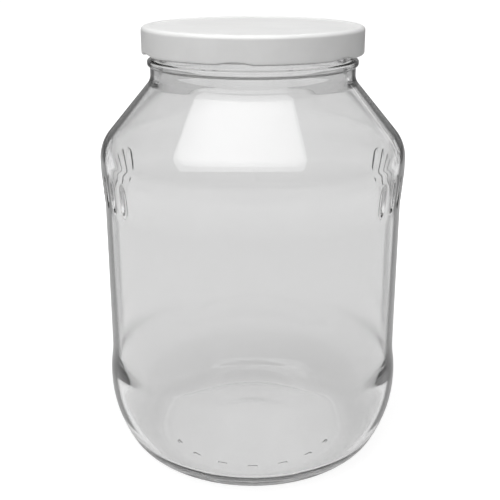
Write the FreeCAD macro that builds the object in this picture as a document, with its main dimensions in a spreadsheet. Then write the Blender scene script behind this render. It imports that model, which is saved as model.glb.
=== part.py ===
import FreeCAD, Part
import os
from math import acos, atan2, pi, sin, tan

import Sketcher
from FreeCAD import Vector

# A large, empty preserving jar of clear glass, closed with a lug-type twist-off cap.
# Z points up along the jar's axis, the jar stands on Z = 0 and its front faces -Y.
# Lengths are in millimetres and angles in degrees. "drop" is a height measured down from the
# sealing rim, so that a taller jar only gets a longer label panel.

SIZES = {
    # glass, outside
    "rim_height": 232.0,
    "body_radius": 80.35,  # at the two bumper bands, the widest places
    "panel_recess": 1.45,  # label panel under the bands
    "upper_band_drop": 70.5,  # to the band's lower edge
    "panel_top_drop": 89.0,
    "taper_round": 60.0,  # at both ends of the taper between them
    "panel_bottom_height": 57.5,
    "lower_band_height": 50.5,  # to the band's upper edge
    "band_round": 30.0,  # at the lower band
    "shoulder_drop": 58.1,  # to where the shoulder's cone would meet the band
    "shoulder_round": 20.0,
    "neck_drop": 25.8,  # to where the cone would meet the neck
    "neck_step": 0.8,  # neck outside the finish
    "neck_round": 8.0,
    "bead_drop": 16.8,  # to the middle of the transfer bead
    "bead_depth": 2.2,  # bead outside the finish
    "bead_width": 4.0,
    "bead_crest": 2.4,
    "bead_round": 1.1,
    "finish_radius": 52.2,
    "rim_round": 1.5,
    # glass, heel and base
    "heel_start": 43.5,
    "heel_round": 66.0,
    "heel_flat": 0.8,  # straight stretch between the two rounds
    "base_round": 21.5,
    "ring_width": 2.4,  # the flat ring that the jar stands on
    "ring_round": 3.0,
    "punt_edge_step": 9.0,
    "punt_edge_height": 2.0,
    "punt_round": 20.0,
    "punt_flat_radius": 20.0,
    "punt_height": 4.6,
    "dome_round": 90.0,
    # glass, inside
    "finish_wall": 4.0,
    "panel_wall": 3.2,
    "shoulder_wall": 3.4,
    "floor_height": 8.5,
    "floor_edge_radius": 42.0,
    "floor_rise": 1.9,
    "inner_shoulder_round": 17.0,
    "inner_neck_round": 11.0,
    "inner_heel_start": 43.0,
    "inner_heel_round": 60.0,
    "inner_base_round": 13.0,
    "inner_rim_round": 1.2,
    # grip flutes on both flanks, in the taper under the upper band
    "flute_count": 8,
    "flute_pitch": 8.2,
    "flute_turn": 81.1,  # from the front to the middle of a flank's row
    "flute_width": 5.6,
    "flute_depth": 1.0,
    "flute_top_drop": 70.0,
    "flute_length": 18.0,
    # interrupted thread
    "thread_count": 6,
    "first_thread": 31.0,  # direction of the middle of one thread, counted from +X
    "thread_depth": 1.8,
    "thread_drop": 8.2,
    "thread_slope": 3.5,
    "thread_bow": 12.8,  # from the jar's axis to the centre of the thread's own arc
    "thread_span": 72.0,  # of that arc
    # cap and its lugs
    "sheet": 0.3,
    "cap_clearance": 0.5,  # curl to thread
    "cap_round": 2.2,
    "rim_band": 4.4,  # raised band round the cap's edge
    "step_width": 1.2,
    "step_depth": 0.45,
    "curl": 2.5,
    "curl_round": 1.1,
    "lug_lag": 10.0,  # how far a closed lug is past the middle of its thread
    "lug_clearance": 0.15,  # lug to thread
    "lug_gap": 0.7,  # lug to finish
    "lug_thickness": 1.3,
    "lug_tip_width": 9.0,
    "lug_root_width": 13.0,
    "lug_round": 1.2,
    "notch_depth": 1.0,
    "notch_width": 17.0,
    # sealing ring between the rim and the cap
    "seal_thickness": 0.8,
    "seal_lap": 0.6,  # inside the bore's edge
    "seal_margin": 0.2,  # from where the cap's edge starts to curve down
}


def make_sheet(doc):
    sheet = doc.addObject("Spreadsheet::Sheet", "Sizes")
    for row, (alias, value) in enumerate(SIZES.items(), start=1):
        sheet.set(f"A{row}", str(value))
        sheet.setAlias(f"A{row}", alias)
    doc.recompute()


# Expressions that several sub-parts share. Plain names in them are the sheet's aliases.
PANEL = "(body_radius - panel_recess)"
INNER_BODY = f"({PANEL} - panel_wall)"
BORE = "(finish_radius - finish_wall)"
NECK = "(finish_radius + neck_step)"
CONE_SLOPE = f"((shoulder_drop - neck_drop) / (body_radius - {NECK}))"
THREAD_ARC = "(finish_radius - thread_bow)"
CURL_INNER = "(finish_radius + thread_depth + cap_clearance)"
CAP = f"({CURL_INNER} + curl)"
PLATE_UNDERSIDE = "(rim_height + seal_thickness)"
BAND_UNDERSIDE = f"({PLATE_UNDERSIDE} + step_depth)"

# Where a closed lug lies under its thread: the angle along the thread's own arc, the radius
# and height of the thread's middle line there, and the flank's drop at the lug's tip.
LUG_ARC_ANGLE = f"(lug_lag * 1 deg + asin(thread_bow * sin(lug_lag) / {THREAD_ARC}))"
LUG_LINE_RADIUS = f"({THREAD_ARC} * sin({LUG_ARC_ANGLE}) / sin(lug_lag))"
LUG_LINE_DROP = f"(thread_drop + {THREAD_ARC} * sin({LUG_ARC_ANGLE}) * sin(thread_slope))"
LUG_TIP = "(finish_radius + lug_gap)"
FLANK = f"sqrt(thread_depth ^ 2 - ({LUG_TIP} - {LUG_LINE_RADIUS}) ^ 2)"
LUG_TOP = f"(rim_height - {LUG_LINE_DROP} - {FLANK} - lug_clearance)"
CAP_BOTTOM = f"({LUG_TOP} - lug_thickness / 2 - curl / 2)"


def sized(expression):
    """The same expression with every alias as a reference to the sheet."""
    words = []
    word = ""
    for letter in expression + " ":
        if letter.isalnum() or letter == "_":
            word += letter
            continue
        words.append(f"Sizes.{word}" if word in SIZES else word)
        words.append(letter)
        word = ""
    return "".join(words).strip()


def value(owner, expression):
    return float(owner.evalExpression(sized(expression)))


def bind(owner, **expressions):
    """Bind properties to the sheet. A double underscore stands for a dot in their path."""
    for path, expression in expressions.items():
        owner.setExpression(path.replace("__", "."), sized(expression))


def origin_feature(body, role):
    return next(f for f in body.Origin.OriginFeatures if f.Role == role)


def turning_about(*axis):
    """A placement whose turn about an axis an expression can set."""
    return FreeCAD.Placement(Vector(), FreeCAD.Rotation(Vector(*axis), 1))


def new_sketch(body, name, plane, turn_axis=None):
    sketch = body.newObject("Sketcher::SketchObject", name)
    sketch.AttachmentSupport = [(origin_feature(body, plane), "")]
    sketch.MapMode = "FlatFace"
    if turn_axis:
        sketch.AttachmentOffset = turning_about(*turn_axis)
    return sketch


def constrain(sketch, expression, *constraint):
    """Add a dimension that the sheet drives."""
    number = sketch.addConstraint(Sketcher.Constraint(*constraint, value(sketch, expression)))
    sketch.setExpression(f"Constraints[{number}]", sized(expression))


def rounded_corner(before, corner, after, radius):
    """Tangent points and arc of a round with this radius in a corner of an outline."""
    arm_in = (before - corner).normalize()
    arm_out = (after - corner).normalize()
    opening = acos(max(-1.0, min(1.0, arm_in.dot(arm_out))))
    reach = radius / tan(opening / 2)
    centre = corner + (arm_in + arm_out).normalize() * (radius / sin(opening / 2))
    start = corner + arm_in * reach
    end = corner + arm_out * reach
    turns_left = (corner - before).cross(after - corner).z > 0
    first, last = (start, end) if turns_left else (end, start)
    angle_first = atan2(first.y - centre.y, first.x - centre.x)
    angle_last = atan2(last.y - centre.y, last.x - centre.x)
    if angle_last < angle_first:
        angle_last += 2 * pi
    circle = Part.Circle(centre, Vector(0, 0, 1), radius)
    return start, end, Part.ArcOfCircle(circle, angle_first, angle_last), turns_left


def draw_outline(sketch, corners):
    """Close an outline through corners, each (x, y) or (x, y, radius) as expressions.

    Every corner is a construction point with its own two dimensions. The lines run through
    the points, and an arc rounds each corner that has a radius.
    """
    count = len(corners)
    points = [Vector(value(sketch, c[0]), value(sketch, c[1]), 0) for c in corners]
    starts, ends, arcs = list(points), list(points), [None] * count
    for i, corner in enumerate(corners):
        if len(corner) == 3:
            radius = value(sketch, corner[2])
            ends[i], starts[i], shape, turns_left = rounded_corner(
                points[i - 1], points[i], points[(i + 1) % count], radius
            )
            arcs[i] = (shape, turns_left)
    marks = []
    for point, corner in zip(points, corners):
        mark = sketch.addGeometry(Part.Point(point), True)
        for axis, kind, text in ((-2, "DistanceX", corner[0]), (-1, "DistanceY", corner[1])):
            if text == "0":
                sketch.addConstraint(Sketcher.Constraint("PointOnObject", mark, 1, axis))
            else:
                constrain(sketch, text, kind, -1, 1, mark, 1)
        marks.append(mark)
    lines = []
    for i in range(count):
        j = (i + 1) % count
        line = sketch.addGeometry(Part.LineSegment(starts[i], ends[j]), False)
        for corner, line_end, is_round in ((i, 1, arcs[i]), (j, 2, arcs[j])):
            if is_round:
                sketch.addConstraint(Sketcher.Constraint("PointOnObject", marks[corner], 1, line))
            else:
                sketch.addConstraint(Sketcher.Constraint("Coincident", line, line_end, marks[corner], 1))
        lines.append(line)
    for i, rounding in enumerate(arcs):
        if not rounding:
            continue
        shape, turns_left = rounding
        arc = sketch.addGeometry(shape, False)
        arc_in, arc_out = (1, 2) if turns_left else (2, 1)
        sketch.addConstraint(Sketcher.Constraint("Tangent", lines[i - 1], 2, arc, arc_in))
        sketch.addConstraint(Sketcher.Constraint("Tangent", lines[i], 1, arc, arc_out))
        constrain(sketch, corners[i][2], "Radius", arc)


def revolve(body, name, sketch, axis="V_Axis", kind="PartDesign::Revolution"):
    feature = body.newObject(kind, name)
    feature.Profile = sketch
    feature.ReferenceAxis = (sketch, [axis])
    feature.Angle = 360
    return feature


def repeat_round(body, name, feature, count, span="360"):
    pattern = body.newObject("PartDesign::PolarPattern", name)
    pattern.Originals = [feature]
    pattern.Axis = (origin_feature(body, "Z_Axis"), [""])
    bind(pattern, Occurrences=count, Angle=span)
    body.Tip = pattern


def heel_corners(radius, start, floor, large, small):
    """The two corners whose rounds make a heel, from a wall down to a floor.

    The large round leaves the wall at height start, and the small one ends on the floor. The
    angle is that of the short straight stretch between them, measured from the wall.
    """
    rise, reach = f"({start} - {floor} - {small})", f"({large} - {small})"
    angle = f"(asin({rise} / hypot({reach}; heel_flat)) - atan(heel_flat / {reach}))"
    wall_arm, floor_arm = f"{large} * tan({angle} / 2)", f"{small} * tan(45 deg - {angle} / 2)"
    length = f"({wall_arm} + heel_flat + {floor_arm})"
    contact = f"({radius} - {length} * sin({angle}) - {floor_arm})"
    corners = [
        (radius, f"{start} - {wall_arm}", large),
        (f"{radius} - {length} * sin({angle})", floor, small),
    ]
    return corners, contact


def glass_section():
    """Half the jar's section, from the rim down the outside and up the inside."""
    heel, contact = heel_corners("body_radius", "heel_start", "0", "heel_round", "base_round")
    ring_inner = f"({contact} - ring_width)"
    inner_heel, _ = heel_corners(
        INNER_BODY, "inner_heel_start", "floor_height", "inner_heel_round", "inner_base_round"
    )
    cone_drop = f"shoulder_wall * sqrt(1 + {CONE_SLOPE} ^ 2)"
    shoulder_inside = f"rim_height - shoulder_drop + {CONE_SLOPE} * (body_radius - {INNER_BODY})"
    neck_inside = f"rim_height - neck_drop + {CONE_SLOPE} * ({NECK} - {BORE})"
    bead = "(finish_radius + bead_depth)"
    finish_side = [
        ("finish_radius", "rim_height", "rim_round"),
        ("finish_radius", "rim_height - bead_drop + bead_width / 2"),
        (bead, "rim_height - bead_drop + bead_crest / 2", "bead_round"),
        (bead, "rim_height - bead_drop - bead_crest / 2", "bead_round"),
        (NECK, "rim_height - bead_drop - bead_width / 2"),
    ]
    body_side = [
        (NECK, "rim_height - neck_drop", "neck_round"),
        ("body_radius", "rim_height - shoulder_drop", "shoulder_round"),
        ("body_radius", "rim_height - upper_band_drop", "taper_round"),
        (PANEL, "rim_height - panel_top_drop", "taper_round"),
        (PANEL, "panel_bottom_height", "band_round"),
        ("body_radius", "lower_band_height", "band_round"),
    ]
    underside = [
        (ring_inner, "0", "ring_round"),
        (f"{ring_inner} - punt_edge_step", "punt_edge_height", "punt_round"),
        ("punt_flat_radius", "punt_height", "dome_round"),
        ("0", "punt_height"),
    ]
    floor = [
        ("0", "floor_height + floor_rise"),
        ("punt_flat_radius", "floor_height + floor_rise", "dome_round"),
        ("floor_edge_radius", "floor_height", "dome_round"),
    ]
    inside = [
        (INNER_BODY, f"{shoulder_inside} - {cone_drop}", "inner_shoulder_round"),
        (BORE, f"{neck_inside} - {cone_drop}", "inner_neck_round"),
        (BORE, "rim_height", "inner_rim_round"),
    ]
    return finish_side + body_side + heel + underside + floor + inner_heel[::-1] + inside


def add_threads(body):
    """Interrupted thread: six bowed ridges that rise out of the finish and run back into it."""
    sketch = new_sketch(body, "ThreadSketch", "XZ_Plane", (1, 0, 0))
    bind(
        sketch,
        AttachmentOffset__Base__y="rim_height - thread_drop",
        AttachmentOffset__Rotation__Angle="thread_slope",
    )
    tube = Part.Circle(Vector(value(sketch, "finish_radius"), 0, 0), Vector(0, 0, 1), 1)
    circle = sketch.addGeometry(tube, False)
    sketch.addConstraint(Sketcher.Constraint("PointOnObject", circle, 3, -1))
    constrain(sketch, "finish_radius", "DistanceX", -1, 1, circle, 3)
    constrain(sketch, "thread_depth", "Radius", circle)
    bow, half = value(sketch, "thread_bow"), value(sketch, "thread_drop / 2")
    axis = sketch.addGeometry(Part.LineSegment(Vector(bow, -half, 0), Vector(bow, half, 0)), True)
    sketch.addConstraint(Sketcher.Constraint("Symmetric", axis, 1, axis, 2, -1))
    constrain(sketch, "thread_bow", "DistanceX", -1, 1, axis, 1)
    constrain(sketch, "thread_drop", "DistanceY", axis, 1, axis, 2)
    ridge = revolve(body, "Thread", sketch, "Axis0")
    ridge.Midplane = True
    bind(ridge, Angle="thread_span")
    repeat_round(body, "Threads", ridge, "thread_count")


def add_flutes(body, side, direction):
    """One flank's row of upright flutes, each cut by a round-ended bar parallel to the taper."""
    sketch = new_sketch(body, f"FluteSketch{side}", "XZ_Plane", (0, 1, 0))
    first = f"({direction} - first_thread - flute_pitch * (flute_count - 1) / 2)"
    bind(sketch, AttachmentOffset__Rotation__Angle=first)
    bar = "((flute_width ^ 2 / 4 + flute_depth ^ 2) / (2 * flute_depth))"
    taper = "(panel_recess / (panel_top_drop - upper_band_drop))"
    centres = []
    for drop in ("flute_top_drop + flute_width / 2", "flute_top_drop + flute_length - flute_width / 2"):
        across = f"{PANEL} + {taper} * (panel_top_drop - ({drop})) + {bar} - flute_depth"
        up = f"rim_height - ({drop})"
        point = Vector(value(sketch, across), value(sketch, up), 0)
        mark = sketch.addGeometry(Part.Point(point), True)
        constrain(sketch, across, "DistanceX", -1, 1, mark, 1)
        constrain(sketch, up, "DistanceY", -1, 1, mark, 1)
        centres.append((point, mark))
    (top, top_mark), (bottom, bottom_mark) = centres
    radius = value(sketch, bar)
    along = (top - bottom).normalize()
    inward = Vector(-along.y, along.x, 0)
    ends = (bottom - along * radius, top + along * radius)
    lean = atan2(inward.y, inward.x)
    upper = Part.ArcOfCircle(Part.Circle(top, Vector(0, 0, 1), radius), lean - pi / 2, lean)
    lower = Part.ArcOfCircle(Part.Circle(bottom, Vector(0, 0, 1), radius), lean, lean + pi / 2)
    upper_arc = sketch.addGeometry(upper, False)
    lower_arc = sketch.addGeometry(lower, False)
    flank = Part.LineSegment(top + inward * radius, bottom + inward * radius)
    wall = sketch.addGeometry(flank, False)
    middle = sketch.addGeometry(Part.LineSegment(*ends), False)
    axis = sketch.addGeometry(Part.LineSegment(*ends), True)
    for constraint in (
        ("Coincident", upper_arc, 3, top_mark, 1),
        ("Coincident", lower_arc, 3, bottom_mark, 1),
        ("Equal", upper_arc, lower_arc),
        ("Tangent", upper_arc, 2, wall, 1),
        ("Tangent", wall, 2, lower_arc, 1),
        ("Coincident", middle, 1, lower_arc, 2),
        ("Coincident", middle, 2, upper_arc, 1),
        ("PointOnObject", top_mark, 1, middle),
        ("PointOnObject", bottom_mark, 1, middle),
        ("Coincident", axis, 1, middle, 1),
        ("Coincident", axis, 2, middle, 2),
    ):
        sketch.addConstraint(Sketcher.Constraint(*constraint))
    constrain(sketch, bar, "Radius", upper_arc)
    flute = revolve(body, f"Flute{side}", sketch, "Axis0", "PartDesign::Groove")
    repeat_round(body, f"Flutes{side}", flute, "flute_count", "flute_pitch * (flute_count - 1)")


def new_body(doc, label):
    """A body whose own +X is the middle of the first thread."""
    body = doc.addObject("PartDesign::Body", label.capitalize())
    body.Label = label
    body.Placement = turning_about(0, 0, 1)
    bind(body, Placement__Rotation__Angle="first_thread")
    return body


def make_jar(doc):
    body = new_body(doc, "jar")
    section = new_sketch(body, "GlassSection", "XZ_Plane")
    draw_outline(section, glass_section())
    revolve(body, "Glass", section)
    add_threads(body)
    for side, direction in (("Right", "270 + flute_turn"), ("Left", "270 - flute_turn")):
        add_flutes(body, side, direction)
    return body


def make_cap(doc):
    """Pressed sheet-metal cap: stepped plate, skirt, curled edge and six lugs."""
    body = new_body(doc, "cap")
    section = new_sketch(body, "CapSection", "XZ_Plane")
    step = f"({CAP} - rim_band)"
    skirt = f"({CAP} - sheet)"
    curl_top = f"({CAP_BOTTOM} + curl)"
    draw_outline(section, [
        ("0", f"{PLATE_UNDERSIDE} + sheet"),
        ("0", PLATE_UNDERSIDE),
        (f"{step} - step_width", PLATE_UNDERSIDE, "sheet"),
        (step, BAND_UNDERSIDE, "sheet"),
        (skirt, BAND_UNDERSIDE, "cap_round - sheet"),
        (skirt, curl_top),
        (CURL_INNER, curl_top, "curl_round"),
        (CURL_INNER, CAP_BOTTOM, "curl_round"),
        (CAP, CAP_BOTTOM, "curl_round"),
        (CAP, f"{BAND_UNDERSIDE} + sheet", "cap_round"),
        (step, f"{BAND_UNDERSIDE} + sheet", "sheet"),
        (f"{step} - step_width", f"{PLATE_UNDERSIDE} + sheet", "sheet"),
    ])
    revolve(body, "Sheet", section)
    add_notches(body)
    add_lugs(body)
    return body


def add_notches(body):
    """Shallow arches in the cap's lower edge, where the curl is pressed into a lug."""
    sketch = new_sketch(body, "NotchSketch", "YZ_Plane", (0, 1, 0))
    bind(sketch, AttachmentOffset__Rotation__Angle="-lug_lag")
    arch_radius = "((notch_width ^ 2 / 4 + notch_depth ^ 2) / (2 * notch_depth))"
    centre_height = f"{CAP_BOTTOM} + notch_depth - {arch_radius}"
    centre = Vector(0, value(sketch, centre_height), 0)
    circle = sketch.addGeometry(Part.Circle(centre, Vector(0, 0, 1), value(sketch, arch_radius)), False)
    sketch.addConstraint(Sketcher.Constraint("PointOnObject", circle, 3, -2))
    constrain(sketch, centre_height, "DistanceY", -1, 1, circle, 3)
    constrain(sketch, arch_radius, "Radius", circle)
    notch = body.newObject("PartDesign::Pocket", "Notch")
    notch.Profile = sketch
    notch.Reversed = True
    bind(notch, Length=f"{CAP} + curl")
    repeat_round(body, "Notches", notch, "thread_count")


def add_lugs(body):
    """Tongues pressed inwards out of the curl, each under the flank of one thread."""
    sketch = new_sketch(body, "LugSketch", "XY_Plane", (0, 0, 1))
    bind(
        sketch,
        AttachmentOffset__Base__z=f"{LUG_TOP} - lug_thickness",
        AttachmentOffset__Rotation__Angle="-lug_lag",
    )
    root = f"({CURL_INNER} + curl / 2)"
    draw_outline(sketch, [
        (root, "-lug_root_width / 2"),
        (root, "lug_root_width / 2"),
        (LUG_TIP, "lug_tip_width / 2", "lug_round"),
        (LUG_TIP, "-lug_tip_width / 2", "lug_round"),
    ])
    lug = body.newObject("PartDesign::Pad", "Lug")
    lug.Profile = sketch
    bind(lug, Length="lug_thickness")
    repeat_round(body, "Lugs", lug, "thread_count")


def make_seal(doc):
    """Ring of sealing compound that fills the cap's edge down to the glass rim."""
    body = new_body(doc, "seal")
    section = new_sketch(body, "SealSection", "XZ_Plane")
    step = f"({CAP} - rim_band)"
    outer = f"({CAP} - cap_round - seal_margin)"
    draw_outline(section, [
        (f"{BORE} - seal_lap", "rim_height"),
        (outer, "rim_height"),
        (outer, BAND_UNDERSIDE),
        (step, BAND_UNDERSIDE, "sheet"),
        (f"{step} - step_width", PLATE_UNDERSIDE, "sheet"),
        (f"{BORE} - seal_lap", PLATE_UNDERSIDE),
    ])
    revolve(body, "Compound", section)
    return body


def check(doc, parts):
    """Stop if any object failed to compute or a sub-part is not one valid solid."""
    for item in doc.Objects:
        if "Invalid" in item.State or "Error" in item.State:
            raise RuntimeError(f"{item.Name} did not compute: {item.State}")
    for part in parts:
        shape = part.Shape
        if shape.isNull() or not shape.isValid() or len(shape.Solids) != 1:
            raise RuntimeError(f"{part.Label} is not one valid solid")


def main():
    doc = FreeCAD.newDocument("GlassJar")
    make_sheet(doc)
    parts = [make_jar(doc), make_cap(doc), make_seal(doc)]
    doc.recompute()
    check(doc, parts)
    os.makedirs("parts", exist_ok=True)
    for part in parts:
        part.Shape.exportStep(f"parts/{part.Label}.step")
        box = part.Shape.BoundBox
        print(f"{part.Label}: {part.Shape.Volume / 1000:.1f} cm3, Z {box.ZMin:.2f} to {box.ZMax:.2f}")


main()
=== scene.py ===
import math

import bpy
import numpy as np
from mathutils import Euler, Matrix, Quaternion, Vector


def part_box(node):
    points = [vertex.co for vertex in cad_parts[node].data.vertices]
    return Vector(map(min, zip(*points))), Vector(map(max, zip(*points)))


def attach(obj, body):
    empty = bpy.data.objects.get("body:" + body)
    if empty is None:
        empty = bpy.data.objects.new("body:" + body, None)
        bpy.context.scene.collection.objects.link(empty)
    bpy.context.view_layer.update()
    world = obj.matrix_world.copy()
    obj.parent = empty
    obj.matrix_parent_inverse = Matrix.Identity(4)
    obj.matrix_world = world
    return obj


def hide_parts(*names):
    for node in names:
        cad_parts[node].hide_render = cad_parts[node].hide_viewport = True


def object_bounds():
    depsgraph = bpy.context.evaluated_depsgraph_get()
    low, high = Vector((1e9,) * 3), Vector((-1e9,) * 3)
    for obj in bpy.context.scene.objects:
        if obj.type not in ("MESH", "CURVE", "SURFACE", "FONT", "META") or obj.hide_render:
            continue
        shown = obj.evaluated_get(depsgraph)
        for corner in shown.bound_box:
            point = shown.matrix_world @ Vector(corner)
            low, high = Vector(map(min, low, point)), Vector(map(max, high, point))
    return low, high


# A large, empty preserving jar of clear glass with a white twist-off cap. Lengths below are in
# millimetres, in the frame of the CAD model: Z along the jar's axis, the floor at Z = 0, the
# front facing -Y. Meshes are written in metres.

MM = 0.001
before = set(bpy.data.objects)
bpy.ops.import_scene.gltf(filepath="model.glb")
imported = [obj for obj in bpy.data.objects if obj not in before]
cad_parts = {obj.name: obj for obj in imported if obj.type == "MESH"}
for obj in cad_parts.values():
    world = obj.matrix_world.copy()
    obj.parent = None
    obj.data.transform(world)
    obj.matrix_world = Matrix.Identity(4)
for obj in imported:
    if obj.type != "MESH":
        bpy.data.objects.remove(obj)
cad_box = [list(map(float, corner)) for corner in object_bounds()]

# Outside of the glass
RIM = 232.0
BODY = 80.35
PANEL = BODY - 1.45
FINISH = 52.2
NECK = FINISH + 0.8
BEAD = FINISH + 2.2
BEAD_HEIGHT = RIM - 16.8
SHOULDER = (BODY, RIM - 58.1)
NECK_FOOT = (NECK, RIM - 25.8)
CONE = (NECK_FOOT[1] - SHOULDER[1]) / (BODY - NECK)
LOW_BAND, PANEL_LOW = 49, 59
HIGH_BAND, PANEL_HIGH = RIM - 70.5, RIM - 89
STANDING_RING = 2.4
PUNT, PUNT_FOOT = 3.4, 5
# Inside of the glass
BORE = FINISH - 4.0
INNER = PANEL - 3.2
FLOOR = 8.5
PUNT_INSIDE = FLOOR + 1.9
SHOULDER_WALL = 3.4
# Slow unevenness of the two skins: depth, then waves as (turns, pitch, phase)
OUTER_DEPTH, INNER_DEPTH = 0.03, 0.16
OUTER_RIPPLES = [(2, 61, 0.4), (3, -83, 2.1), (5, 47, 4.0)]
INNER_RIPPLES = [(2, 52, 1.3), (3, -70, 0.2), (4, 38, 3.1), (7, -29, 5.2)]
# Grip flutes on both flanks, and how far round from +X the middle of each row is
FLUTES, FLUTE_PITCH, FLUTE_WIDTH, FLUTE_DEPTH, FLUTE_SOFT = 8, 8.2, 5.6, 1.0, 0.12
FLUTE_TOP, FLUTE_BOTTOM, FLUTE_RUNOUT = RIM - 70, RIM - 88, 0.42
FLUTE_ROWS = (270 + 81.1, 270 - 81.1)
FLUTE_BAR = (FLUTE_WIDTH ** 2 / 4 + FLUTE_DEPTH ** 2) / (2 * FLUTE_DEPTH)
# Marks on the base: places round the whole ring, and depth. The pairs say where a mark begins
# and ends to fade out along it and across it, and round the ring from the front (in radians).
BASE_MARKS, MARK_DEPTH = 18, 0.9
MARK_LENGTH, MARK_WIDTH, MARK_FRONT = (1.7, 2.6), (0.3, 0.9), (1.0, 1.2)
# Thread and cap
THREADS, FIRST_THREAD, LUG_LAG = 6, 31.0, 10.0
THREAD_BOW, THREAD_TUBE, THREAD_HEIGHT, THREAD_SLOPE = 12.8, 1.8, RIM - 8.2, 3.5
SHEET = 0.3
CAP_LOW, CAP_HIGH = (corner.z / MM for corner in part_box("cap"))
CAP = 57.0
CURL_INNER, CURL_TOP = 54.5, CAP_LOW + 2.5
PLATE_RIM, PLATE = CAP - 4.4, CAP_HIGH - 0.45
ARCH_HALF = 8.5
LUG_DIRECTIONS = [FIRST_THREAD - LUG_LAG + 60 * k for k in range(THREADS)]
# A lug seen from above as (along, radius) corners, and its layers as (height, share of that)
LUG_CORNERS, LUG_ROUND = ((-6.5, 55.75), (-4.5, 52.9), (4.5, 52.9), (6.5, 55.75)), 1.2
LUG_MIDDLE = 54.4
LUG_LAYERS = ((0.6, 0.9), (0.72, 0.97), (0.95, 1), (1.55, 1), (1.78, 0.97), (1.9, 0.9))


def rounded(corners, turn=4.0):
    """Points along an open outline through (r, z) or (r, z, round) corners."""
    points = [Vector(corners[0][:2])]
    for before, corner, after in zip(corners, corners[1:], corners[2:]):
        here = Vector(corner[:2])
        if len(corner) < 3:
            points.append(here)
            continue
        arm_in = (Vector(before[:2]) - here).normalized()
        arm_out = (Vector(after[:2]) - here).normalized()
        opening = arm_in.angle(arm_out)
        start = here + arm_in * (corner[2] / math.tan(opening / 2))
        centre = here + (arm_in + arm_out).normalized() * (corner[2] / math.sin(opening / 2))
        spoke = start - centre
        sweep = math.pi - opening
        if arm_in.x * arm_out.y - arm_in.y * arm_out.x > 0:
            sweep = -sweep
        step = turn if corner[2] > 2 else 2.5 * turn
        steps = max(3, math.ceil(abs(math.degrees(sweep)) / step))
        for k in range(steps + 1):
            a = sweep * k / steps
            points.append(centre + Vector((
                spoke.x * math.cos(a) - spoke.y * math.sin(a),
                spoke.x * math.sin(a) + spoke.y * math.cos(a),
            )))
    points.append(Vector(corners[-1][:2]))
    return points


def heel(radius, start, floor, large, small, flat=0.8):
    """The two rounded corners of a heel, from a floor up to a wall."""
    angle = math.asin((start - floor - small) / math.hypot(large - small, flat))
    angle -= math.atan(flat / (large - small))
    wall_arm = large * math.tan(angle / 2)
    floor_arm = small * math.tan(math.pi / 4 - angle / 2)
    length = wall_arm + flat + floor_arm
    foot = radius - length * math.sin(angle)
    return [(foot, floor, small), (radius, start - wall_arm, large)], foot - floor_arm


def subdivided(points, gap):
    """The same outline with no stretch longer than gap(r, z) allows."""
    result = [points[0]]
    for a, b in zip(points, points[1:]):
        middle = (a + b) / 2
        count = max(1, math.ceil((b - a).length / gap(middle.x, middle.y)))
        result += [a.lerp(b, k / count) for k in range(1, count + 1)]
    return [p for p, q in zip(result, [None] + result) if q is None or (p - q).length > 1e-4]


def smoothstep(low, high, x):
    t = np.clip((x - low) / (high - low), 0, 1)
    return t * t * (3 - 2 * t)


def smooth_max(a, b, soft):
    """The larger of a and b, with a fillet where they meet."""
    blend = np.clip(0.5 + (a - b) / (2 * soft), 0, 1)
    return b + (a - b) * blend + soft * blend * (1 - blend)


def away(theta, direction):
    """Signed angle from a direction in degrees, in radians."""
    return (theta - math.radians(direction) + math.pi) % (2 * math.pi) - math.pi


def make_piece(name, *skins):
    """A smooth-shaded object from closed skins, each given as points in millimetres and faces."""
    mesh = bpy.data.meshes.new(name)
    points, faces = [], []
    for skin_points, skin_faces in skins:
        faces += [tuple(i + len(points) for i in face) for face in skin_faces]
        points += (skin_points * MM).tolist()
    mesh.from_pydata(points, [], faces)
    mesh.validate()
    mesh.shade_smooth()
    thing = bpy.data.objects.new(name, mesh)
    bpy.context.scene.collection.objects.link(thing)
    return thing


def zipped(a_start, a_theta, b_start, b_theta):
    """Faces between two rings that may have different numbers of points."""
    na, nb = len(a_theta), len(b_theta)
    if na == nb and np.allclose(a_theta, b_theta):
        return [
            (a_start + i, a_start + (i + 1) % na, b_start + (i + 1) % nb, b_start + i)
            for i in range(na)
        ]
    faces, i, j = [], 0, 0
    while i < na or j < nb:
        a_next = a_theta[i + 1] if i + 1 < na else 2 * math.pi + a_theta[0] if i < na else math.inf
        b_next = b_theta[j + 1] if j + 1 < nb else 2 * math.pi + b_theta[0] if j < nb else math.inf
        a_here, b_here = a_start + i % na, b_start + j % nb
        if a_next <= b_next:
            faces.append((a_here, a_start + (i + 1) % na, b_here))
            i += 1
        else:
            faces.append((a_here, b_start + (j + 1) % nb, b_here))
            j += 1
    return faces


def lathe(outline, thetas_at, shape):
    """Turn an outline into a closed skin; its first and last points are on the axis.

    thetas_at(r, z, k) gives a ring's angles and shape(theta, r, z, k) its radii and heights.
    """
    rings = [np.array([[0, 0, outline[0].y]])]
    starts, thetas = [0], [np.zeros(1)]
    total = 1
    for k, point in enumerate(outline[1:-1], start=1):
        theta = thetas_at(point.x, point.y, k)
        r, z = shape(theta, point.x, point.y, k)
        rings.append(np.stack([r * np.cos(theta), r * np.sin(theta), z + 0 * theta], 1))
        starts.append(total)
        thetas.append(theta)
        total += len(theta)
    rings.append(np.array([[0, 0, outline[-1].y]]))
    faces = []
    for k in range(1, len(starts) - 1):
        faces += zipped(starts[k], thetas[k], starts[k + 1], thetas[k + 1])
    first, last = len(thetas[1]), len(thetas[-1])
    faces += [(0, 1 + (i + 1) % first, 1 + i) for i in range(first)]
    faces += [(total, starts[-1] + i, starts[-1] + (i + 1) % last) for i in range(last)]
    return np.concatenate(rings), faces


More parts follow.
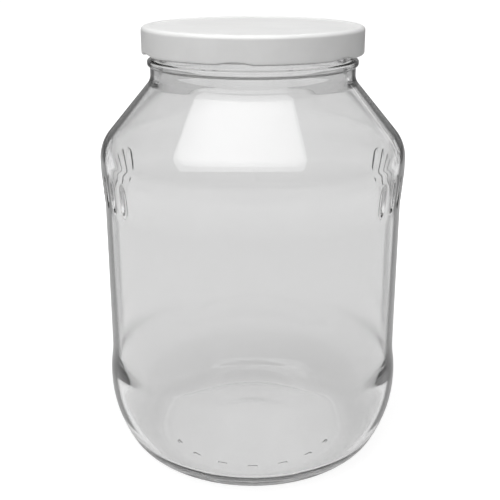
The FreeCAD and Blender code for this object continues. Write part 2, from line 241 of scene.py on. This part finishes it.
def ripple(theta, z, phases):
    """Slow unevenness round the glass, about -1 to 1."""
    value = 0
    for turns, pitch, phase in phases:
        value = value + np.sin(turns * theta + z / pitch + phase)
    return value / len(phases)


# ---------------------------------------------------------------- glass

heel_outside, contact = heel(BODY, start=43.5, floor=0.0, large=66.0, small=21.5)
heel_inside, _ = heel(INNER, start=43.0, floor=FLOOR, large=60.0, small=13.0)
ring_inner = contact - STANDING_RING
cone_drop = SHOULDER_WALL * math.hypot(1, CONE)

outside = rounded([
    (0, PUNT), (12, PUNT, 90), (ring_inner - PUNT_FOOT, 0.49), (ring_inner, 0, 3.0),
    *heel_outside,
    (BODY, LOW_BAND, 60), (PANEL, PANEL_LOW, 60), (PANEL, PANEL_HIGH, 60), (BODY, HIGH_BAND, 60),
    (*SHOULDER, 20), (*NECK_FOOT, 8),
    (NECK, BEAD_HEIGHT - 2, 0.6), (BEAD, BEAD_HEIGHT - 1.2, 1.1), (BEAD, BEAD_HEIGHT + 1.2, 1.1),
    (FINISH, BEAD_HEIGHT + 2, 0.6), (FINISH, RIM, 1.5), (BORE, RIM),
])[:-1]
inside = rounded([
    (FINISH, RIM), (BORE, RIM, 1.2),
    (BORE, NECK_FOOT[1] + CONE * (NECK - BORE) - cone_drop, 11),
    (INNER, SHOULDER[1] + CONE * (BODY - INNER) - cone_drop, 17),
    *heel_inside[::-1],
    (42, FLOOR, 90), (20, PUNT_INSIDE, 90), (0, PUNT_INSIDE),
])[1:]

marks_at = ring_inner - 3.0


def at_flutes(r, z):
    return r > PANEL - 1 and FLUTE_BOTTOM - 1.5 < z < FLUTE_TOP + 1.5


def at_thread(z):
    return z > BEAD_HEIGHT + 3


def at_marks(r, z):
    return z < 3 and r > ring_inner - 6


def outside_gap(r, z):
    """The longest stretch of outline allowed at a place outside: short where there is detail."""
    if at_flutes(r, z):
        return 0.6
    if z > BEAD_HEIGHT - 4:
        return 0.7
    if z < 2.5 and r > ring_inner - 6:
        return 0.4 if r < ring_inner else 1.2
    return 3.0


outside = subdivided(outside, outside_gap)
inside = subdivided(inside, lambda r, z: 4.0)
OUTSIDE_COUNT = len(outside)

# Angles of the points of a ring. GRIP is dense in the rows of flutes only.
COARSE = np.radians(np.arange(0, 360, 2.0))
PLAIN = np.radians(np.arange(0, 360, 1.6))
FINE = np.radians(np.arange(0, 360, 1.0))
degrees = np.arange(0, 360, 0.5)
row_half = FLUTE_PITCH * (FLUTES - 1) / 2 + 3
on_row = np.zeros(len(degrees), bool)
for row in FLUTE_ROWS:
    on_row |= np.abs((degrees - row + 180) % 360 - 180) < row_half
GRIP = np.radians(degrees[on_row | (np.arange(len(degrees)) % 3 == 0)])


def glass_angles(r, z, k):
    if k < OUTSIDE_COUNT:
        if at_flutes(r, z):
            return GRIP
        if at_thread(z) or at_marks(r, z):
            return FINE
    return COARSE if r < 30 else PLAIN


def add_flutes(theta, r, z):
    """Upright grooves with rounded ends on both flanks, as a round-ended bar would press them."""
    for row in FLUTE_ROWS:
        nearest = np.degrees(away(theta, row)) + FLUTE_PITCH * (FLUTES - 1) / 2
        number = np.clip(np.round(nearest / FLUTE_PITCH), 0, FLUTES - 1)
        across = np.radians(nearest - number * FLUTE_PITCH) * r
        past = max(z - FLUTE_TOP, FLUTE_BOTTOM - z)
        end = max(FLUTE_WIDTH / 2 + FLUTE_RUNOUT * past, 0.0)
        distance = np.minimum(np.hypot(across, end), FLUTE_BAR)
        depth = FLUTE_DEPTH - FLUTE_BAR + np.sqrt(FLUTE_BAR ** 2 - distance ** 2)
        r = r - smooth_max(depth, 0 * depth, FLUTE_SOFT)
    return r


def add_thread(theta, r, z):
    """Six bowed ridges, each a tube on its own arc that sinks into the finish at both ends."""
    for k in range(THREADS):
        angle = away(theta, FIRST_THREAD + 60 * k)
        arc = FINISH - THREAD_BOW
        line = THREAD_BOW * np.cos(angle) + np.sqrt(arc ** 2 - (THREAD_BOW * np.sin(angle)) ** 2)
        rise = line * np.sin(angle) * math.tan(math.radians(THREAD_SLOPE))
        flank_height = THREAD_TUBE ** 2 - (z - THREAD_HEIGHT - rise) ** 2
        crest = line + np.sqrt(np.maximum(flank_height, 0))
        near = (np.abs(angle) < math.radians(30)) & (flank_height > 0)
        r = np.where(near, np.maximum(r, crest), r)
    return r


def base_marks(theta, r):
    """Short shallow notches along the inner side of the ring that the base stands on."""
    step = 2 * math.pi / BASE_MARKS
    along = np.abs((theta % step) - step / 2) * r
    front = 1 - smoothstep(*MARK_FRONT, np.abs(away(theta, 270)))
    across = float(1 - smoothstep(*MARK_WIDTH, abs(r - marks_at)))
    return MARK_DEPTH * front * across * (1 - smoothstep(*MARK_LENGTH, along))


def glass_shape(theta, r, z, k):
    """Radii and heights of one ring of the glass, with the detail that belongs to its place."""
    radius, height = r + 0 * theta, z + 0 * theta
    if k >= OUTSIDE_COUNT:
        fade = float(smoothstep(20, 40, r)) * float(1 - smoothstep(205, 225, z))
        return radius + INNER_DEPTH * fade * ripple(theta, z, INNER_RIPPLES), height
    fade = float(smoothstep(8, 24, z)) * float(1 - smoothstep(195, 208, z))
    radius = radius - OUTER_DEPTH * fade * (1 + ripple(theta, z, OUTER_RIPPLES))
    if at_flutes(r, z):
        radius = add_flutes(theta, radius, z)
    if at_thread(z):
        radius = add_thread(theta, radius, z)
    if at_marks(r, z):
        height = height + base_marks(theta, r)
    return radius, height


glass = make_piece("glass_jar", lathe(outside + inside, glass_angles, glass_shape))

# ---------------------------------------------------------------- cap

cap_outline = rounded([
    (0, PLATE - SHEET),
    (PLATE_RIM - 1.2, PLATE - SHEET, 0.3), (PLATE_RIM, CAP_HIGH - SHEET, 0.3),
    (CAP - SHEET, CAP_HIGH - SHEET, 1.9), (CAP - SHEET, CURL_TOP, 0.2),
    (CURL_INNER, CURL_TOP, 1.1), (CURL_INNER, CAP_LOW, 1.1), (CAP, CAP_LOW, 1.1),
    (CAP, CAP_HIGH, 2.2), (PLATE_RIM, CAP_HIGH, 0.5), (PLATE_RIM - 1.2, PLATE, 0.5), (0, PLATE),
])
cap_outline = subdivided(cap_outline, lambda r, z: 1.5 if r > 45 else 9.0)


def cap_angles(r, z, k):
    return FINE if r > 30 else COARSE


def cap_shape(theta, r, z, k):
    """Shallow arches in the lower edge, where the curl is pressed in to make each lug."""
    height = z + 0 * theta
    low = float(1 - smoothstep(CAP_LOW + 1.2, CURL_TOP + 0.6, z)) if r > CURL_INNER - 0.1 else 0.0
    for direction in LUG_DIRECTIONS:
        across = away(theta, direction) * CAP
        arch = np.clip(1 - (across / ARCH_HALF) ** 2, 0, 1)
        height = height + low * arch
    return r + 0 * theta, height


def tongue(direction):
    """A lug: a flat tongue with softened edges, from inside the curl to just off the finish."""
    first, second, third, last = LUG_CORNERS
    outline = rounded([first, (*second, LUG_ROUND), (*third, LUG_ROUND), last], 15)
    flat = np.array([(p.x, p.y) for p in outline])
    middle = np.array([0, LUG_MIDDLE])
    layers = []
    for height, share in LUG_LAYERS:
        along, radius = (middle + (flat - middle) * share).T
        a = math.radians(direction) + along / radius
        level = 0 * a + CAP_LOW + height
        layers.append(np.stack([radius * np.cos(a), radius * np.sin(a), level], 1))
    n = len(flat)
    faces = [
        (k * n + (i + 1) % n, k * n + i, (k + 1) * n + i, (k + 1) * n + (i + 1) % n)
        for k in range(len(layers) - 1) for i in range(n)
    ]
    faces += [tuple(range(n)), tuple(range(len(layers) * n - 1, (len(layers) - 1) * n - 1, -1))]
    return np.concatenate(layers), faces


cap = make_piece(
    "cap_shell", lathe(cap_outline, cap_angles, cap_shape), *(tongue(d) for d in LUG_DIRECTIONS)
)

# ---------------------------------------------------------------- materials

# Bare lengths from here on are in metres. Groups of four are ranges: (from, to, level, level).
# The third glass level below is painted shade: the glass's colour at its outline, dark in place of
# the dark surroundings seen in its edges.
GLASS_IOR, GLASS_TINT, GLASS_EDGE_PAINTED_SHADE = 1.52, 0.80, 0.02
GLASS_DEPTH, GLASS_DENSITY, GLASS_SHADOW = 0.5, 9, 0.9
PAINTED_EDGE_FACING, GLASS_HAZE = (0.69, 0.76, 0.0, 1.0), (0.35, 0.75, 0.0, 0.012)
# The part of the inner wall where painted shade darkens the glass towards its outline, by height
PAINTED_EDGE_WALL_ABOVE, PAINTED_EDGE_WALL_BELOW = (0.05, 0.075, 0.0, 0.75), (0.14, 0.165, 1.0, 0.0)
ENAMEL = (0.83, 0.83, 0.825, 1), (0.87, 0.87, 0.865, 1)
ENAMEL_CLOUD, ENAMEL_RUBBED = (0.3, 0.7, 0.0, 1.0), (0.35, 0.7, 0.33, 0.47)
COMPOUND = (0.70, 0.69, 0.65, 1), (0.78, 0.77, 0.74, 1)
COMPOUND_ROUGH = (0.3, 0.7, 0.62, 0.8)


def node_material(name):
    material = bpy.data.materials.new(name)
    material.use_nodes = True
    nodes = material.node_tree.nodes
    nodes.clear()
    return material, nodes, material.node_tree.links


def math_node(nodes, links, operation, first, second):
    """A Math node whose inputs are sockets or numbers."""
    node = nodes.new("ShaderNodeMath")
    node.operation = operation
    for socket, given in zip(node.inputs, (first, second)):
        if isinstance(given, (int, float)):
            socket.default_value = given
        else:
            links.new(given, socket)
    return node.outputs[0]


def range_node(nodes, links, driver, low, high, at_low, at_high):
    """A smooth step from one level to another as the driver goes from low to high."""
    node = nodes.new("ShaderNodeMapRange")
    node.interpolation_type = "SMOOTHSTEP"
    for socket, given in zip(node.inputs[1:5], (low, high, at_low, at_high)):
        socket.default_value = given
    links.new(driver, node.inputs[0])
    return node.outputs[0]


def ramp_node(nodes, links, driver, stops):
    """A smooth curve through (input, level) stops, the first at 0."""
    node = nodes.new("ShaderNodeValToRGB")
    node.color_ramp.interpolation = "EASE"
    reach = stops[-1][0]
    while len(node.color_ramp.elements) < len(stops):
        node.color_ramp.elements.new(0.5)
    for element, (place, level) in zip(node.color_ramp.elements, stops):
        element.position = place / reach
        element.color = (level, level, level, 1)
    links.new(math_node(nodes, links, "DIVIDE", driver, reach), node.inputs[0])
    return node.outputs[0]


def colour_node(nodes, links, share, first, second):
    """A colour between two others."""
    node = nodes.new("ShaderNodeMix")
    node.data_type = "RGBA"
    node.inputs[6].default_value = first
    node.inputs[7].default_value = second
    links.new(share, node.inputs[0])
    return node.outputs[2]


def noise_node(nodes, links, scale, detail, roughness=0.5):
    """Noise over the object's own coordinates, in metres."""
    place = nodes.new("ShaderNodeTexCoord")
    node = nodes.new("ShaderNodeTexNoise")
    node.inputs["Scale"].default_value = scale
    node.inputs["Detail"].default_value = detail
    node.inputs["Roughness"].default_value = roughness
    links.new(place.outputs["Object"], node.inputs["Vector"])
    return node.outputs["Fac"]


def bump_node(nodes, links, height, distance, strength=1.0):
    node = nodes.new("ShaderNodeBump")
    node.inputs["Strength"].default_value = strength
    node.inputs["Distance"].default_value = distance
    links.new(height, node.inputs["Height"])
    return node.outputs[0]


def painted_edge_mask(nodes, links):
    """Where painted shade darkens the glass towards its outline: 1 outside on the body and the
    shoulder, 0.75 inside on the wall, 0 elsewhere.
    """
    place = nodes.new("ShaderNodeTexCoord")
    split = nodes.new("ShaderNodeSeparateXYZ")
    links.new(place.outputs["Object"], split.inputs[0])
    x, y, z = split.outputs
    squares = [math_node(nodes, links, "MULTIPLY", side, side) for side in (x, y)]
    radius = math_node(nodes, links, "SQRT", math_node(nodes, links, "ADD", *squares), 0.0)
    slanted = math_node(nodes, links, "ADD", radius, math_node(nodes, links, "DIVIDE", z, CONE))
    cone = (NECK + NECK_FOOT[1] / CONE) * MM
    on_body = range_node(nodes, links, radius, (PANEL - 1.6) * MM, (PANEL - 1.0) * MM, 0.0, 1.0)
    on_cone = range_node(nodes, links, slanted, cone - 2.4 * MM, cone - 1.6 * MM, 0.0, 1.0)
    outside_share = math_node(nodes, links, "MAXIMUM", on_body, on_cone)
    above_heel = range_node(nodes, links, z, *PAINTED_EDGE_WALL_ABOVE)
    below_shoulder = range_node(nodes, links, z, *PAINTED_EDGE_WALL_BELOW)
    painted_edge_on_wall = math_node(nodes, links, "MULTIPLY", above_heel, below_shoulder)
    return math_node(nodes, links, "MAXIMUM", outside_share, painted_edge_on_wall)


def glass_material():
    """Clear glass: a little grey in its depth, darkened towards its outline by painted shade,
    faintly uneven.
    """
    material, nodes, links = node_material("clear_glass")
    out = nodes.new("ShaderNodeOutputMaterial")
    body = nodes.new("ShaderNodeBsdfPrincipled")
    body.inputs["Transmission Weight"].default_value = 1
    body.inputs["IOR"].default_value = GLASS_IOR
    # Painted shade: the colour darkens as the surface turns from view, in place of the dark
    # surroundings seen in the glass's edges.
    facing = nodes.new("ShaderNodeLayerWeight")
    facing.inputs["Blend"].default_value = 0.5
    outline = range_node(nodes, links, facing.outputs["Facing"], *PAINTED_EDGE_FACING)
    share = math_node(nodes, links, "MULTIPLY", outline, painted_edge_mask(nodes, links))
    tint_and_painted_edge = colour_node(nodes, links, share, [GLASS_TINT] * 3 + [1], [GLASS_EDGE_PAINTED_SHADE] * 3 + [1])
    links.new(tint_and_painted_edge, body.inputs["Base Color"])
    haze = noise_node(nodes, links, scale=45, detail=3)
    links.new(range_node(nodes, links, haze, *GLASS_HAZE), body.inputs["Roughness"])
    clear = nodes.new("ShaderNodeBsdfTransparent")
    clear.inputs["Color"].default_value = (GLASS_SHADOW, GLASS_SHADOW, GLASS_SHADOW, 1)
    path = nodes.new("ShaderNodeLightPath")
    shadow, diffuse = path.outputs["Is Shadow Ray"], path.outputs["Is Diffuse Ray"]
    lamps = math_node(nodes, links, "MAXIMUM", shadow, diffuse)
    mix = nodes.new("ShaderNodeMixShader")
    links.new(lamps, mix.inputs[0])
    links.new(body.outputs[0], mix.inputs[1])
    links.new(clear.outputs[0], mix.inputs[2])
    links.new(mix.outputs[0], out.inputs["Surface"])
    depth = nodes.new("ShaderNodeVolumeAbsorption")
    depth.inputs["Color"].default_value = (GLASS_DEPTH, GLASS_DEPTH, GLASS_DEPTH, 1)
    depth.inputs["Density"].default_value = GLASS_DENSITY
    links.new(depth.outputs[0], out.inputs["Volume"])
    return material


def enamel_material():
    """White enamel on tinplate: orange peel, faint cloudiness and rubbed spots in its gloss."""
    material, nodes, links = node_material("white_enamel")
    out = nodes.new("ShaderNodeOutputMaterial")
    paint = nodes.new("ShaderNodeBsdfPrincipled")
    cloud = noise_node(nodes, links, scale=38, detail=4, roughness=0.6)
    share = range_node(nodes, links, cloud, *ENAMEL_CLOUD)
    links.new(colour_node(nodes, links, share, *ENAMEL), paint.inputs["Base Color"])
    rubbed = noise_node(nodes, links, scale=210, detail=6, roughness=0.7)
    links.new(range_node(nodes, links, rubbed, *ENAMEL_RUBBED), paint.inputs["Roughness"])
    peel = noise_node(nodes, links, scale=1400, detail=2)
    bump = bump_node(nodes, links, peel, distance=0.00002, strength=0.5)
    links.new(bump, paint.inputs["Normal"])
    links.new(paint.outputs[0], out.inputs["Surface"])
    return material


def compound_material():
    """Sealing compound: matt, off-white and slightly grainy."""
    material, nodes, links = node_material("sealing_compound")
    out = nodes.new("ShaderNodeOutputMaterial")
    paste = nodes.new("ShaderNodeBsdfPrincipled")
    grain = noise_node(nodes, links, scale=650, detail=5, roughness=0.65)
    links.new(colour_node(nodes, links, grain, *COMPOUND), paste.inputs["Base Color"])
    links.new(range_node(nodes, links, grain, *COMPOUND_ROUGH), paste.inputs["Roughness"])
    links.new(bump_node(nodes, links, grain, distance=0.00005), paste.inputs["Normal"])
    links.new(paste.outputs[0], out.inputs["Surface"])
    return material


glass.data.materials.append(glass_material())
cap.data.materials.append(enamel_material())
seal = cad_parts["seal"]
seal.data.materials.clear()
seal.data.materials.append(compound_material())

for piece, node, slot in ((glass, "jar", "glass"), (cap, "cap", "cap_enamel")):
    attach(piece, "root")
    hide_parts(node)

# ---------------------------------------------------------------- studio

CAMERA_LENS, CAMERA_SENSOR, CAMERA_PITCH = 64.8, 36, 18.854
CAMERA_ASIDE, CAMERA_BACK, CAMERA_OVER_LID = -0.0015, -0.4712, 0.0394
KEY_PLACE, KEY_SIZE, KEY_POWER = (-0.2475, -0.321, 1.2), (1.665, 1.25), 21.8
KEY_MIDDLE, KEY_FADE = (0.5, 0.5, 0), (0.05, 0.7, 1.04, 0.64)
STRIP_PLACE, STRIP_TARGET = (0.636, 0.746, 0.456), (0.055, -0.025, 0.197)
STRIP_ROLL, STRIP_SIZE, STRIP_POWER = math.radians(-45), (0.04, 0.45), 0.06
# What falls on things from all round, and how much of the floor and wall shows in reflections
AMBIENT, MIRRORED = 0.178, 0.3
# The wall's and the floor's levels from the middle of the studio to its left and right
WALL_SIDES = (0.3, 0.8, 0.8, 0.56)
PAPER, PAPER_SIDES, FLOOR_HALF = 0.6, (0.4, 0.8, 1.0, 0.5), 6
# The floor's level by distance from the jar's axis, seen through the glass and seen directly.
# Through the glass it holds a painted shadow, a darker ring round the heel, and painted light
# under the base.
FLOOR_GLOW_PAINTED_SHADOW = (
    (0, 0.8), (0.045, 0.76), (0.065, 0.56), (0.1, 0.53),
    (0.2, 0.6), (0.35, 0.58), (0.75, 0.82), (1.2, 0.9),
)
FLOOR_SEEN = (0.08, 0.4, 0.62, 1.0)

scene = bpy.context.scene
scene.view_settings.view_transform = "Standard"
scene.cycles.max_bounces = scene.cycles.transmission_bounces = scene.cycles.glossy_bounces = 40

camera_data = bpy.data.cameras.new("camera")
camera_data.lens, camera_data.sensor_width = CAMERA_LENS, CAMERA_SENSOR
camera_data.clip_start, camera_data.clip_end = 0.02, 50
camera = bpy.data.objects.new("camera", camera_data)
camera.location = (CAMERA_ASIDE, CAMERA_BACK, cad_box[1][2] + CAMERA_OVER_LID)
camera.rotation_euler = Euler((math.radians(90 - CAMERA_PITCH), 0, 0))
scene.collection.objects.link(camera)
scene.camera = camera


def area_light(name, place, turn, width, depth, power):
    data = bpy.data.lights.new(name, "AREA")
    data.shape = "RECTANGLE"
    data.size, data.size_y, data.energy = width, depth, power
    lamp = bpy.data.objects.new(name, data)
    lamp.location, lamp.rotation_euler = place, turn
    scene.collection.objects.link(lamp)
    return data


def fade_rim(data, middle, fade):
    """Make an area light brighter at one place than at its rim, as a real softbox is."""
    data.use_nodes = True
    nodes, links = data.node_tree.nodes, data.node_tree.links
    nodes.clear()
    out = nodes.new("ShaderNodeOutputLight")
    glow = nodes.new("ShaderNodeEmission")
    surface = nodes.new("ShaderNodeNewGeometry")
    apart = nodes.new("ShaderNodeVectorMath")
    apart.operation = "DISTANCE"
    apart.inputs[1].default_value = middle
    links.new(surface.outputs["Parametric"], apart.inputs[0])
    level = range_node(nodes, links, apart.outputs["Value"], *fade)
    links.new(level, glow.inputs["Strength"])
    links.new(glow.outputs[0], out.inputs["Surface"])


# The softbox in front reflects in the shoulder, and the strip gives its right side a faint streak.
key = area_light("key_softbox", KEY_PLACE, Euler((math.radians(45), 0, 0)), *KEY_SIZE, KEY_POWER)
fade_rim(key, KEY_MIDDLE, KEY_FADE)
strip_aim = (Vector(STRIP_TARGET) - Vector(STRIP_PLACE)).to_track_quat("-Z", "Y")
strip_turn = (strip_aim @ Quaternion((0, 0, 1), STRIP_ROLL)).to_euler()
area_light("side_strip", STRIP_PLACE, strip_turn, *STRIP_SIZE, STRIP_POWER)


def share_seen(nodes, links):
    """What the camera sees directly, and what it sees through the glass or, less, reflected."""
    path = nodes.new("ShaderNodeLightPath")
    mirrored = math_node(nodes, links, "MULTIPLY", path.outputs["Is Glossy Ray"], MIRRORED)
    through = math_node(nodes, links, "MAXIMUM", path.outputs["Is Transmission Ray"], mirrored)
    return path.outputs["Is Camera Ray"], through


def side_fall(nodes, links, vector, near, far, middle, side):
    """A level in the middle of the studio, falling to another at its left and right."""
    split = nodes.new("ShaderNodeSeparateXYZ")
    links.new(vector, split.inputs[0])
    aside = math_node(nodes, links, "ABSOLUTE", split.outputs["X"], 0.0)
    return range_node(nodes, links, aside, near, far, middle, side)


world = bpy.data.worlds.new("studio")
scene.world = world
world.use_nodes = True
nodes, links = world.node_tree.nodes, world.node_tree.links
nodes.clear()
out = nodes.new("ShaderNodeOutputWorld")
background = nodes.new("ShaderNodeBackground")
background.inputs["Color"].default_value = (1, 1, 1, 1)
place = nodes.new("ShaderNodeTexCoord")
camera_ray, through = share_seen(nodes, links)
wall = side_fall(nodes, links, place.outputs["Generated"], *WALL_SIDES)
over_ambient = math_node(nodes, links, "SUBTRACT", wall, AMBIENT)
seen_through = math_node(nodes, links, "MULTIPLY", over_ambient, through)
lit = math_node(nodes, links, "ADD", seen_through, AMBIENT)
links.new(math_node(nodes, links, "MAXIMUM", lit, camera_ray), background.inputs["Strength"])
links.new(background.outputs[0], out.inputs["Surface"])

floor_mesh = bpy.data.meshes.new("floor")
corners = [(x * FLOOR_HALF, y * FLOOR_HALF, 0) for x, y in ((-1, -1), (1, -1), (1, 1), (-1, 1))]
floor_mesh.from_pydata(corners, [], [(0, 1, 2, 3)])
floor = bpy.data.objects.new("floor", floor_mesh)
scene.collection.objects.link(floor)
material, nodes, links = node_material("studio_floor")
out = nodes.new("ShaderNodeOutputMaterial")
paper = nodes.new("ShaderNodeBsdfDiffuse")
glow = nodes.new("ShaderNodeEmission")
place = nodes.new("ShaderNodeTexCoord")
camera_ray, through = share_seen(nodes, links)
side = side_fall(nodes, links, place.outputs["Object"], *PAPER_SIDES)
shade = nodes.new("ShaderNodeCombineColor")
for socket in shade.inputs[:3]:
    links.new(math_node(nodes, links, "MULTIPLY", side, PAPER), socket)
links.new(shade.outputs[0], paper.inputs["Color"])
distance = nodes.new("ShaderNodeVectorMath")
distance.operation = "LENGTH"
links.new(place.outputs["Object"], distance.inputs[0])
# Painted shadow and painted light: through the glass the floor's glow dips in a ring round the
# heel and rises under the base.
glow_and_painted_shadow = ramp_node(nodes, links, distance.outputs["Value"], FLOOR_GLOW_PAINTED_SHADOW)
shown = math_node(nodes, links, "MULTIPLY", glow_and_painted_shadow, side)
seen_through = math_node(nodes, links, "MULTIPLY", shown, through)
clean = range_node(nodes, links, distance.outputs["Value"], *FLOOR_SEEN)
direct = math_node(nodes, links, "MULTIPLY", clean, camera_ray)
links.new(math_node(nodes, links, "MAXIMUM", direct, seen_through), glow.inputs["Strength"])
both = nodes.new("ShaderNodeAddShader")
links.new(paper.outputs[0], both.inputs[0])
links.new(glow.outputs[0], both.inputs[1])
links.new(both.outputs[0], out.inputs["Surface"])
floor_mesh.materials.append(material)
